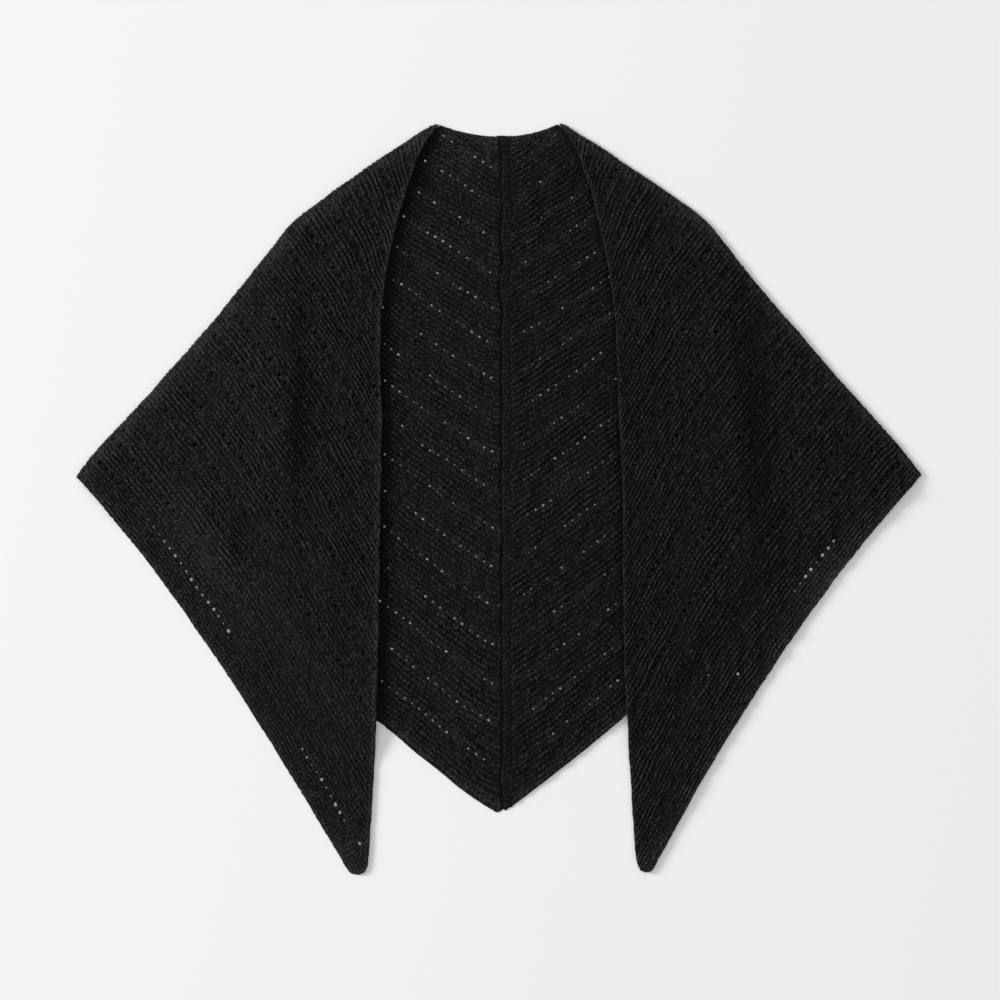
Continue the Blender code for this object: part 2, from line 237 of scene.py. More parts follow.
def linear(colour):
    """Linear colour of an sRGB hex value."""
    parts = [int(colour[i : i + 2], 16) / 255 for i in (1, 3, 5)]
    return tuple(p / 12.92 if p <= 0.04045 else ((p + 0.055) / 1.055) ** 2.4 for p in parts)


class KnitSizes(bpy.types.PropertyGroup):
    """Sizes of the stitches, ridges and eyelets."""

    stitch: FloatProperty(name="Stitch", description="Width of one stitch", default=5.05 * MM, unit="LENGTH")
    ridge: FloatProperty(name="Ridge", description="Height of a garter ridge", default=1.35 * MM, unit="LENGTH")
    bump: FloatProperty(name="Bump", description="Height of a purl bump on a ridge", default=0.4 * MM, unit="LENGTH")
    stray: FloatProperty(name="Stray", description="Unevenness of the yarn", default=0.8 * MM, unit="LENGTH")
    waver: FloatProperty(name="Waver", description="How far the rows wander", default=1.6 * MM, unit="LENGTH")
    eyelet: FloatProperty(name="Eyelet", description="Radius of an open eyelet", default=1.7 * MM, unit="LENGTH")
    open_share: FloatProperty(name="Open", description="Share of eyelets that are open", default=0.92, subtype="FACTOR")
    wander: FloatProperty(name="Wander", description="How far a stitch strays from its place, in rows", default=0.7)
    seed: IntProperty(name="Seed", description="Seed of the unevenness", default=11)


class YarnColours(bpy.types.PropertyGroup):
    """Colours of the yarn and the surface."""

    yarn: FloatVectorProperty(
        name="Yarn", description="Dyed cashmere on the ridges", subtype="COLOR", size=3, default=linear("#303030"))
    shade: FloatVectorProperty(
        name="Between", description="Yarn between the ridges", subtype="COLOR", size=3, default=linear("#060606"))
    haze: FloatVectorProperty(
        name="Haze", description="Sheen of the loose hairs", subtype="COLOR", size=3, default=linear("#8a8a89"))
    floor: FloatVectorProperty(
        name="Surface", description="Pale surface below", subtype="COLOR", size=3, default=linear("#e4e4e4"))


class StageSizes(bpy.types.PropertyGroup):
    """Place of the camera and strength of the lights."""

    lens: FloatProperty(name="Lens", description="Focal length in millimetres", default=85.0)
    across: FloatProperty(name="Across", description="Width of the surface in view", default=1.1, unit="LENGTH")
    key: FloatProperty(name="Key light", description="Power of the soft light", default=1560.0, unit="POWER")
    sky: FloatProperty(name="Fill", description="Strength of the light from all round", default=0.73)


def add(tree, kind, inputs=None, **settings):
    """Adds a node with its settings. Each input is given a value, or linked where another node's socket is given."""
    node = tree.nodes.new(kind)
    for name, value in settings.items():
        setattr(node, name, value)
    for socket, value in (inputs or {}).items():
        if isinstance(value, bpy.types.NodeSocket):
            tree.links.new(value, node.inputs[socket])
        else:
            node.inputs[socket].default_value = value
    return node


def smooth_step(value):
    held = np.clip(value, 0.0, 1.0)
    return held * held * (3.0 - 2.0 * held)


def hump(value, width):
    """A soft hump: 1 in the middle, and almost 0 at twice its width."""
    return np.exp(-((value / width) ** 2))


def unit(vector):
    return vector / np.linalg.norm(vector)


def rising(low, value):
    """Goes smoothly from low to 1 as value goes from 0 to 1."""
    return low + (1.0 - low) * smooth_step(value)


class Drift:
    """Smooth unevenness over the plan: a sum of waves with seeded directions, each from short to long in mm."""

    def __init__(self, seed, short, long, count=9):
        rng = np.random.default_rng(seed)
        length = short * (long / short) ** rng.random(count) * MM
        turn = rng.random(count) * 2 * math.pi
        self.wave = np.stack([np.cos(turn), np.sin(turn)]) * 2 * math.pi / length
        self.start = rng.random(count) * 2 * math.pi
        self.size = math.sqrt(2.0 / count)

    def at(self, plan):
        return np.sin(plan @ self.wave + self.start).sum(axis=-1) * self.size


FUZZ_DRIFT = Drift(71, 30, 110)


def along(first, side, row):
    """Place in the plan at any row of a wing's table, in metres, through a smooth curve: first names its x."""
    table = np.array(WINGS[side], dtype=float)
    rows = table[:, 0]
    column = Section.index(first)
    values = table[:, column : column + 2] * MM
    slopes = np.gradient(values, rows, axis=0)
    place = int(np.clip(np.searchsorted(rows, row, side="right") - 1, 0, len(rows) - 2))
    span = rows[place + 1] - rows[place]
    t = (row - rows[place]) / span
    start = (1 + 2 * t) * (1 - t) ** 2 * values[place] + t * (1 - t) ** 2 * span * slopes[place]
    end = t * t * (3 - 2 * t) * values[place + 1] - t * t * (1 - t) * span * slopes[place + 1]
    return start + end


fold_point, edge_point = partial(along, "fold_x"), partial(along, "edge_x")


def fold_frame(side, row):
    """Unit vectors at the fold: towards the neck along it, and inwards across it."""
    low = min(row + 0.4, LAST_ROW[side])
    high = max(row - 0.4, FIRST_ROW)
    run = unit(fold_point(side, high) - fold_point(side, low))
    return run, np.array([run[1], -run[0]]) * INWARD[side]


def flap_end(side, row, past=0.0):
    """Where the fold's lower side ends, and with a gap past it, where the body's row starts."""
    run, inward = fold_frame(side, row)
    skew = NECK_SKEW * (1.0 - smooth_step((row - FIRST_ROW) / NECK_SKEW_ROWS))
    return fold_point(side, row) + inward * (FLAP + past) + run * skew


def apex_y(row):
    """How far up a row lies in the middle of the back."""
    repeat = (row - EYELET_FIRST) / EYELET_EVERY
    return APEX_FIRST - APEX_PITCH * repeat - APEX_GROWTH * repeat * repeat


def is_eyelet(number):
    place, left = divmod(number - EYELET_FIRST, EYELET_EVERY)
    return left == 0 and 0 <= place < EYELET_ROWS


def body_end(side, row):
    """The outer end of the body's row: under the fold, or on the neckline."""
    if row >= FIRST_ROW:
        return flap_end(side, row, JOIN)
    corner = flap_end(side, FIRST_ROW, JOIN)
    x = RIB_EDGE[side] + (corner[0] - RIB_EDGE[side]) * row / FIRST_ROW
    return np.array([x, NECK_DEPTH + (x / corner[0]) ** 2 * (corner[1] - NECK_DEPTH)])


def hem_bow(side, x, end_x):
    """How far the body's hem draws in, between the fold at end_x and where it comes out from under the wing."""
    tip = abs(fold_point(side, LAST_ROW[side])[0])
    share = np.clip((tip - np.abs(x)) / (tip - WING_EDGE), 0.0, 1.0)
    start = smooth_step((abs(end_x) - np.abs(x)) / BODY_BOW_START)
    drawn = BODY_BOW * np.sin(math.pi * share) * start * smooth_step(3.5 * (1.0 - share))
    return drawn - HEM_OUT[side] * smooth_step(10.0 * share - 9.0)


def chevron_y(side, row, x):
    """The body's row as y by x: a soft chevron, with the point's shape in the last rows."""
    end = body_end(side, row)
    to_hem = LAST_ROW[side] - row
    soft = APEX_SOFT + POINT_SOFT * smooth_step(1.0 - to_hem / POINT_SOFT_ROWS)
    slope = (end[1] - apex_y(row)) / math.hypot(end[0], soft)
    drawn = hem_bow(side, x, end[0]) * smooth_step(1.0 - to_hem / BODY_BOW_ROWS)
    notch = NOTCH * hump(x - RIB_EDGE["left"], NOTCH_WIDTH) - LOBE * hump(x - LOBE_X, LOBE_WIDTH)
    return apex_y(row) + slope * np.hypot(x, soft) + drawn + notch * smooth_step(1.0 - to_hem / NOTCH_ROWS)


def wing_plan(side, row, place):
    """Plan positions of a wing's row: place runs from the fold to the inner edge."""
    _, inward = fold_frame(side, row)
    start = fold_point(side, row) + inward * FOLD_RADIUS
    chord = edge_point(side, row) - start
    last = np.linalg.norm(edge_point(side, LAST_ROW[side]) - fold_point(side, LAST_ROW[side]))
    across = np.array([-chord[1], chord[0]]) * INWARD[side]
    bow = HEM_BOW[side] / last * 4.0 * place * (1.0 - place) * (1.0 + HEM_BOW_SKEW[side] * (1.0 - 2.0 * place))
    return start + np.outer(place, chord) + np.outer(bow, across)


def round_tip(side, plan):
    """Draws the sharp corner of the hem and the inner edge in to a round tip."""
    corner = edge_point(side, LAST_ROW[side])
    ways = [edge_point(side, LAST_ROW[side] - TIP_LOOK_ROWS), wing_plan(side, LAST_ROW[side], np.array([TIP_LOOK]))[0]]
    ways = [unit(way - corner) for way in ways]
    bisector = unit(ways[0] + ways[1])
    half = math.acos(float(ways[0] @ bisector))
    centre = corner + bisector * TIP_RADIUS[side] / math.sin(half)
    offset = plan - centre
    way = offset / np.maximum(np.linalg.norm(offset, axis=1, keepdims=True), 1e-9)
    pull = np.full(len(plan), -1.0)
    for edge in ways:
        pull = np.maximum(pull, way @ unit(edge * float(edge @ bisector) - bisector))
    inside = way @ -bisector > math.sin(half)
    return np.where(inside[:, None], centre + offset * pull[:, None], plan)


def past_body_hem(side, plan):
    """How far a point of a wing lies outside the body's hem."""
    tip = fold_point(side, LAST_ROW[side])
    apex = np.array([0.0, apex_y(LAST_ROW[side])])
    run = unit(apex - tip)
    straight = (plan - tip) @ (np.array([run[1], -run[0]]) * INWARD[side])
    return straight + hem_bow(side, plan[:, 0], tip[0]) * abs(run[0])


def turned(plan, x, y, lean):
    """Distances in mm from a place, along and across a line that leans by so many degrees."""
    turn = math.radians(lean)
    dx, dy = plan[:, 0] / MM - x, plan[:, 1] / MM - y
    return dx * math.cos(turn) + dy * math.sin(turn), dy * math.cos(turn) - dx * math.sin(turn)


def raised_nap_and_highlight(name, plan):
    """Hairs that stand up in worn patches of a piece, and a painted highlight along the right wing's inner edge."""
    total = np.zeros(len(plan))
    for x, y, length, width, lean, strength in WORN_AND_LIT[name]:
        run, across = turned(plan, x, y, lean)
        total += strength * np.exp(-((run / length) ** 2) - (across / width) ** 2)
    return total


def trough_shade(side, plan):
    """How deep a point lies in the valley on the steep side of each soft fold, from 0 to 1: it sets the painted shade
    there.
    """
    total = np.zeros(len(plan))
    for x, y, length, _, steep, height, lean in SWELLS[side]:
        across, up = turned(plan, x, y, -lean)
        across = across / steep
        total += height * TROUGH_SCALE * np.maximum(across, 0.0) * np.exp(-(across**2) - (up / length) ** 2)
    return total


def swell_height(side, plan):
    total = np.zeros(len(plan))
    for x, y, length, gentle, steep, height, lean in SWELLS[side]:
        across, up = turned(plan, x, y, -lean)
        width = np.where(across < 0.0, gentle, steep)
        total += height * MM * np.exp(-((across / width) ** 2) - (up / length) ** 2)
    return total


def wing_floor(side, plan, from_fold, from_edge):
    """Height of a wing's underside: down from the fold, along the body, and off its hem to the surface."""
    at_fold = 2.0 * FOLD_RADIUS - FOLD_WALL - LAID_HEIGHT
    height = LAID_HEIGHT + at_fold * hump(from_fold, FOLD_SETTLES)
    height += swell_height(side, plan) * smooth_step(from_fold / (2.0 * FOLD_SETTLES))
    height += EDGE_LIFT[side] * hump(from_edge, EDGE_LIFT_WIDTH) * smooth_step(from_fold / FOLD_SETTLES)
    return height * (1.0 - smooth_step((past_body_hem(side, plan) - HEM_OVERHANG) / HEM_DROP))


# One line of points along a row: its outer and inner points, the way outwards, how deep the stitches are, the nap and
# painted light mark, which is 1 where hairs stand up along an edge, more with a painted highlight, and below 0 with
# painted shade in a groove, in a valley or beside a wing's edge, and where an eyelet may be
Line = namedtuple("Line", ("outer", "inner", "outward", "depth", "nap", "clear"))


def thinned(from_edge, from_hem, edge_thin=EDGE_THIN):
    """Share of the wall left towards a free edge."""
    beside = rising(edge_thin, 0.15 + from_edge / EDGE_ROUND)
    return np.minimum(beside, rising(EDGE_THIN, 0.15 + from_hem / EDGE_ROUND_ROWS))


def relief(thin):
    """Share of the stitches' depth, which is less where the wall is thin."""
    return smooth_step(thin * 1.6 - 0.5)


def faded(place, distance):
    low, width = RELIEF_FADES[place]
    return rising(low, distance / width)


def nap_at(from_edge, from_hem, rows=NAP_ROWS):
    """Raised hairs along a free edge and a hem."""
    return 1.0 - np.minimum(smooth_step(from_edge / NAP_WIDTH), smooth_step(from_hem / rows))


def wing_length(side, row):
    """Lengths of a wing's row under the fold, round it and on to the inner edge."""
    _, inward = fold_frame(side, row)
    start = fold_point(side, row) + inward * FOLD_RADIUS
    flap = np.linalg.norm(flap_end(side, row) - start)
    return flap, math.pi * FOLD_RADIUS, np.linalg.norm(edge_point(side, row) - start)


def wing_line(side, row, columns, sink):
    """Points of a wing's row, from under the fold, round it and on to the inner edge."""
    flap, roll, upper = wing_length(side, row)
    to_hem = LAST_ROW[side] - row
    _, inward = fold_frame(side, row)
    start = fold_point(side, row) + inward * FOLD_RADIUS
    place = np.linspace(0.0, flap + roll + upper, columns + 1)
    turn = np.clip((place - flap) / FOLD_RADIUS, 0.0, math.pi)
    thin = thinned(flap + roll + upper - place, min(to_hem, row - FIRST_ROW), SELVEDGE_THIN)
    shown = smooth_step((turn - 0.35) / 1.2)
    outer = np.zeros((columns + 1, 3))
    inner = np.zeros_like(outer)
    outward = np.zeros_like(outer)
    wall = CLOTH * thin - sink
    at_neck = rising(NECK_FOLD, (row - FIRST_ROW) / NECK_FOLD_ROWS)
    radius = (FOLD_RADIUS - REST - (FOLD_WALL - CLOTH * thin - ROLL_OUT) * shown) * at_neck
    under = place < flap
    share = np.clip(place / flap, 0.0, 1.0)[:, None]
    plan = flap_end(side, row) * (1.0 - share) + start * share
    away = -np.outer(np.sin(turn), inward)
    bore = (FOLD_RADIUS - FOLD_WALL + (FOLD_WALL - CLOTH) * (1.0 - shown)) * at_neck
    for grid, reach in ((outer, radius), (inner, bore)):
        grid[:, :2] = plan + away * reach[:, None]
        grid[:, 2] = FOLD_RADIUS - np.cos(turn) * reach
    outward[:, :2] = away
    outward[:, 2] = -np.cos(turn)
    over = place > flap + roll
    along_row = np.clip((place - flap - roll) / upper, 0.0, 1.0)
    plan = wing_plan(side, row, along_row)
    floor = np.maximum(wing_floor(side, plan, along_row * upper, (1.0 - along_row) * upper), REST)
    curl = hump(to_hem, HEM_LIFT_ROWS) * smooth_step(past_body_hem(side, plan) / HEM_DROP)
    floor = floor + HEM_LIFT[side] * curl
    plan = round_tip(side, plan)
    inner[over, :2] = plan[over]
    outer[over, :2] = plan[over]
    from_fold = along_row * upper
    drop = FOLD_DROP * (1.0 - smooth_step(from_fold / FOLD_DROP_WIDTH))
    drop = (drop + FOLD_PRESS * (1.0 - smooth_step(from_fold / FLAP))) * np.sin(turn / 2.0)
    from_edge = (1.0 - along_row) * upper
    rim = EDGE_RIM * hump(from_edge, EDGE_RIM_WIDTH) * smooth_step((row - FIRST_ROW) / EDGE_RIM_ROWS)
    inner[over, 2] = floor[over]
    outer[over, 2] = (floor + wall + rim)[over]
    outer[:, 2] = np.maximum(outer[:, 2] - drop, REST + LEAST_WALL * shown)
    inner[:, 2] = np.maximum(inner[:, 2] - drop, REST)
    outward[over] = (0.0, 0.0, 1.0)
    outward[under] = (0.0, 0.0, -1.0)
    depth = smooth_step((turn - 1.0) / 0.7) * relief(thin)
    depth = depth * faded("fold", from_fold) * faded("edge", from_edge)
    if side == "left":
        weak = smooth_step((row - WEAK_ROWS[0]) / WEAK_ROWS[1])
        depth = depth * (1.0 - 0.5 * weak * smooth_step(from_fold / (200.0 * MM) - 0.3))
    nap = nap_at(np.minimum(from_fold, from_edge), to_hem) + raised_nap_and_highlight(f"wing_{side}", plan)
    # Raised hairs at the fold, with a painted highlight, strongest on the left fold that faces the light
    nap = nap + FOLD_FUZZ_AND_HIGHLIGHT[side] * hump(from_fold, FOLD_FUZZ_WIDTH) * (1.0 + 0.4 * FUZZ_DRIFT.at(plan))
    clear = over & (from_fold > 5.0 * MM) & (from_edge > 4.0 * MM)
    # Painted shade lowers the colour mark in the valleys beside the soft folds
    return Line(outer, inner, outward, depth, nap - TROUGH_PAINTED_SHADE * trough_shade(side, plan), clear)


@lru_cache(maxsize=None)
def selvedge(side):
    """Places down a wing's inner edge, as y turned over and x."""
    points = np.array([edge_point(side, row) for row in np.linspace(FIRST_ROW, LAST_ROW[side], 60)])
    return -points[:, 1], points[:, 0]


def body_line(side, row, columns, sink):
    """Points of a row of the body, from the fold in to the middle rib."""
    end = body_end(side, row)
    x = end[0] + (RIB_EDGE[side] - end[0]) * np.linspace(0.0, 1.0, columns + 1)
    plan = np.stack([x, chevron_y(side, row, x)], axis=1)
    from_rib, from_fold = np.abs(x - RIB_EDGE[side]), np.abs(x - end[0])
    to_hem = LAST_ROW[side] - row
    from_neck = from_fold if row < FIRST_ROW else np.full(columns + 1, 1.0)
    groove = rising(GROOVE[side][1], (from_rib + 0.3 * MM) / GROOVE[side][0])
    thin = thinned(from_neck, min(to_hem, row - NECK_START)) * (0.4 + 0.6 * groove)
    rest = REST + 0.5 * HEM_LIFT[side] * hump(to_hem, 1.5) * smooth_step(from_rib / (40.0 * MM))
    outer = np.column_stack([plan, CLOTH * thin - sink + rest])
    inner = np.column_stack([plan, rest])
    outward = np.tile((0.0, 0.0, 1.0), (columns + 1, 1))
    nap = np.maximum(HEM_NAP * nap_at(1.0, to_hem), NECK_NAP * nap_at(from_neck, row - NECK_START, NECK_NAP_ROWS))
    # Painted shade: the mark falls below 0 in the groove beside the rib, darkening it
    nap = nap * smooth_step(from_rib / (8.0 * MM)) - 1.1 * (1.0 - groove) + raised_nap_and_highlight(f"body_{side}", plan)
    depth = relief(thin) * (0.25 + 0.75 * groove)
    if row >= FIRST_ROW:
        depth = depth * faded("body", from_fold)
    # Painted shadow: a band of the body beside the wing's inner edge is darkened, where the wing shades it
    shade, width = WING_EDGE_PAINTED_SHADOW[side]
    beside = (x - np.interp(-plan[:, 1], *selvedge(side))) * INWARD[side] / width
    nap = nap - shade * smooth_step(3.0 * beside + 2.0) * smooth_step((1.0 - beside) * 4.0)
    return Line(outer, inner, outward, depth, nap, (from_rib > RIB_CLEAR[side]) & (from_fold > 2.0 * MM))


class Cloth:
    """Collects the points and faces of one closed piece of knitting."""

    def __init__(self):
        self.points, self.outward, self.marks, self.faces, self.count = [], [], [], [], 0

    def put(self, points, outward, marks):
        """Adds a line of points with its marks (row, stitch, depth, nap and painted light) and gives their numbers."""
        self.points.append(points)
        self.outward.append(outward)
        self.marks.append(marks)
        self.count += len(points)
        return np.arange(self.count - len(points), self.count)

    def face(self, *corners):
        self.faces.append([int(corner) for corner in corners])

    def strip(self, a, b, skip=()):
        """Quads between two lines of equal length, leaving out the columns in skip."""
        quads = np.stack([a[:-1], a[1:], b[1:], b[:-1]], axis=1)
        keep = np.ones(len(quads), dtype=bool)
        keep[list(skip)] = False
        self.faces += quads[keep].tolist()

    def zip(self, a, b):
        """Triangles between two lines of any lengths."""
        if len(a) == len(b):
            self.strip(a, b)
            return
        i = j = 0
        while i < len(a) - 1 or j < len(b) - 1:
            if j == len(b) - 1 or (i < len(a) - 1 and (i + 1) * (len(b) - 1) <= (j + 1) * (len(a) - 1)):
                self.face(a[i], a[i + 1], b[j])
                i += 1
            else:
                self.face(a[i], b[j + 1], b[j])
                j += 1


def knit(line_at, length_at, first, last, sizes, seed, drift, open_at, size_at):
    """Knits a panel: ridges of stitches from line to line, with eyelets through them, over a plainer underside. The
    chance that an eyelet is open comes from open_at, and its size beside the others from size_at."""
    rng = np.random.default_rng(seed)
    cloth = Cloth()
    numbers = range(math.ceil(first - 0.3), math.floor(last + 0.3) + 1)
    top_ends, low_ends = [], []
    top_last = low_last = None
    for number in numbers:
        phases = PHASES if is_eyelet(number) else RIDGE_PHASES
        rows = [number + phase for phase in phases]
        if number == numbers[0]:
            rows = [max(row, first + FIRST_STEP * k) for k, row in enumerate(rows)]
        if number == numbers[-1]:
            rows = [min(row, last - FIRST_STEP * (len(phases) - 1 - k)) for k, row in enumerate(rows)]
        rows = [min(max(row, first), last) for row in rows]
        stitches = max(1, round(length_at(number if first < number < last else rows[2]) / sizes.stitch))
        columns = 2 * stitches
        eyelet = is_eyelet(number) and stitches > 3
        strength = rng.normal(1.0, 0.10)
        odd = rng.normal(0.0, 0.25, columns + 1)
        stitch = np.arange(columns + 1) * 0.5
        holes, radius = [], {}
        if eyelet:
            middle = line_at(number, columns, 0.0)
            chance = open_at(number, middle.outer[:, :2])
            for c in range(2 + 2 * (number // EYELET_EVERY % 2), columns - 3, 4):
                if middle.clear[c] and middle.clear[c + 1] and rng.random() < chance[c]:
                    holes.append(c)
                    high = sizes.eyelet * size_at(number) * rng.uniform(*EYELET_SIZES)
                    radius[c] = high * np.array([rng.uniform(*EYELET_WIDTHS), 1.0])
        sinks = [EYELET_SINK * (1.0 if 1 <= k <= 4 else 0.4) if eyelet else 0.0 for k in range(len(rows))]
        tops = [line_at(row, columns, sink) for row, sink in zip(rows, sinks)]
        cut_eyelets(tops, holes, radius)
        wanted = (0, 1, 4) if eyelet else (0,)
        top_rows, lows = [], []
        for k, line in enumerate(tops):
            plan = line.outer[:, :2]
            patch = np.clip(RELIEF_PATCHES[0] + RELIEF_PATCHES[1] * drift["patch"].at(plan), 0.2, 1.25)
            patch = patch * (1.0 - 0.3 * np.maximum(line.nap, 0.0))
            depth = line.depth * patch * strength * (EYELET_RELIEF if eyelet else 1.0) * (1.0 + odd)
            marks = np.column_stack([np.full(columns + 1, number + phases[k]), stitch, depth, line.nap])
            top_rows.append(cloth.put(line.outer, line.outward, marks))
        at_end = number in (numbers[0], numbers[-1])
        if number == numbers[-1]:
            wanted += (len(phases) - 1,)
        for k in wanted:
            step = 1 if eyelet or at_end or columns % 2 else 2
            points = tops[k].inner[::step]
            marks = np.column_stack([np.full(columns + 1, number + phases[k]), stitch, 0 * stitch, tops[k].nap])[::step]
            lows.append(cloth.put(points, np.tile((0.0, 0.0, -1.0), (len(points), 1)), marks))
        for k in range(len(top_rows) - 1):
            skip = holes if HOLE_LINES[0] <= k < HOLE_LINES[1] else ()
            cloth.strip(top_rows[k], top_rows[k + 1], skip)
        for k in range(len(lows) - 1):
            if eyelet and k == 1:
                cloth.strip(lows[k], lows[k + 1], holes)
            else:
                cloth.zip(lows[k], lows[k + 1])
        for c in holes:
            a, b, d, e = top_rows[1:5]
            low, high = lows[1:3]
            cloth.face(a[c], a[c + 1], low[c + 1], low[c])
            cloth.face(e[c], e[c + 1], high[c + 1], high[c])
            for s in (c, c + 1):
                cloth.face(a[s], b[s], low[s])
                cloth.face(b[s], d[s], high[s], low[s])
                cloth.face(d[s], e[s], high[s])
        if top_last is None:
            cloth.zip(top_rows[0], lows[0])
        else:
            cloth.zip(top_last, top_rows[0])
            cloth.zip(low_last, lows[0])
        top_last, low_last = top_rows[-1], lows[-1]
        top_ends += [(rows[k], line[0], line[-1]) for k, line in enumerate(top_rows)]
        low_rows = [rows[k] for k in wanted]
        low_ends += [(row, line[0], line[-1]) for row, line in zip(low_rows, lows)]
    cloth.zip(top_last, low_last)
    close_ends(cloth, top_ends, low_ends)
    return cloth


def cut_eyelets(lines, holes, radius):
    """Draws the points round each eyelet into a ring."""
    for c in holes:
        ring = [(k, s) for k in (1, 2, 3, 4) for s in (c, c + 1)]
        centre = np.mean([lines[k].outer[s] for k, s in ring], axis=0)
        side = unit(lines[2].outer[c + 1] - lines[2].outer[c])
        up = lines[1].outer[c] - lines[4].outer[c]
        up = unit(up - side * (up @ side))
        for k, s in ring:
            outer_line = k in (1, 4)
            x = (0.383 if outer_line else 0.924) * (1.0 if s > c else -1.0)
            y = (0.924 if outer_line else 0.383) * (1.0 if k < 3 else -1.0)
            wide, high = radius[c]
            lines[k].outer[s] = centre + side * x * wide + up * y * high
            if outer_line:
                x, y = (0.74 * (1.0 if near else -1.0) for near in (s > c, k < 3))
                lines[k].inner[s, :2] = (centre + side * x * wide + up * y * high)[:2]


def close_ends(cloth, top_ends, low_ends):
    """Closes the wall along the two ends of the rows."""
    for end in (1, 2):
        t = 0
        for (row_a, *low_a), (row_b, *low_b) in zip(low_ends[:-1], low_ends[1:]):
            a, b = low_a[end - 1], low_b[end - 1]
            chain = [t]
            while t + 1 < len(top_ends) and top_ends[t][0] < row_b - 1e-9:
                t += 1
                chain.append(t)
            tops = [top_ends[k][end] for k in chain]
            half = len(tops) // 2
            for k in range(len(tops) - 1):
                cloth.face(tops[k], tops[k + 1], a if k < half else b)
            cloth.face(tops[half], a, b)


def as_object(cloth, name, waver):
    """Makes the mesh with its marks, its rows wandering a little, and faces that point outwards."""
    points = np.concatenate(cloth.points)
    marks = np.concatenate(cloth.marks).astype(np.float32)
    nap = np.clip(marks[:, 3:], 0.0, 1.0)
    rough = np.stack([Drift(seed, 2.5, 7, 14).at(points[:, :2]) for seed in (61, 62)], axis=1) * EDGE_ROUGH
    points[:, :2] += waver(points[:, :2].copy()) * (1.0 - 0.7 * nap) + rough * nap**2 + np.array(CENTRING)
    mesh = bpy.data.meshes.new(name)
    mesh.from_pydata(points.tolist(), [], cloth.faces)
    outward = mesh.attributes.new("outward", "FLOAT_VECTOR", "POINT")
    outward.data.foreach_set("vector", np.concatenate(cloth.outward).astype(np.float32).ravel())
    for column, label in enumerate(("row", "stitch", "depth", "nap")):
        mark = mesh.attributes.new(label, "FLOAT", "POINT")
        mark.data.foreach_set("value", np.ascontiguousarray(marks[:, column]))
    shape = bmesh.new()
    shape.from_mesh(mesh)
    bmesh.ops.recalc_face_normals(shape, faces=shape.faces[:])
    if shape.calc_volume(signed=True) < 0:
        bmesh.ops.reverse_faces(shape, faces=shape.faces[:])
    open_edges = sum(1 for edge in shape.edges if len(edge.link_faces) != 2)
    shape.to_mesh(mesh)
    shape.free()
    if open_edges:
        raise RuntimeError(f"{name}: {open_edges} edges are open")
    piece = bpy.data.objects.new(name, mesh)
    bpy.context.scene.collection.objects.link(piece)
    return piece


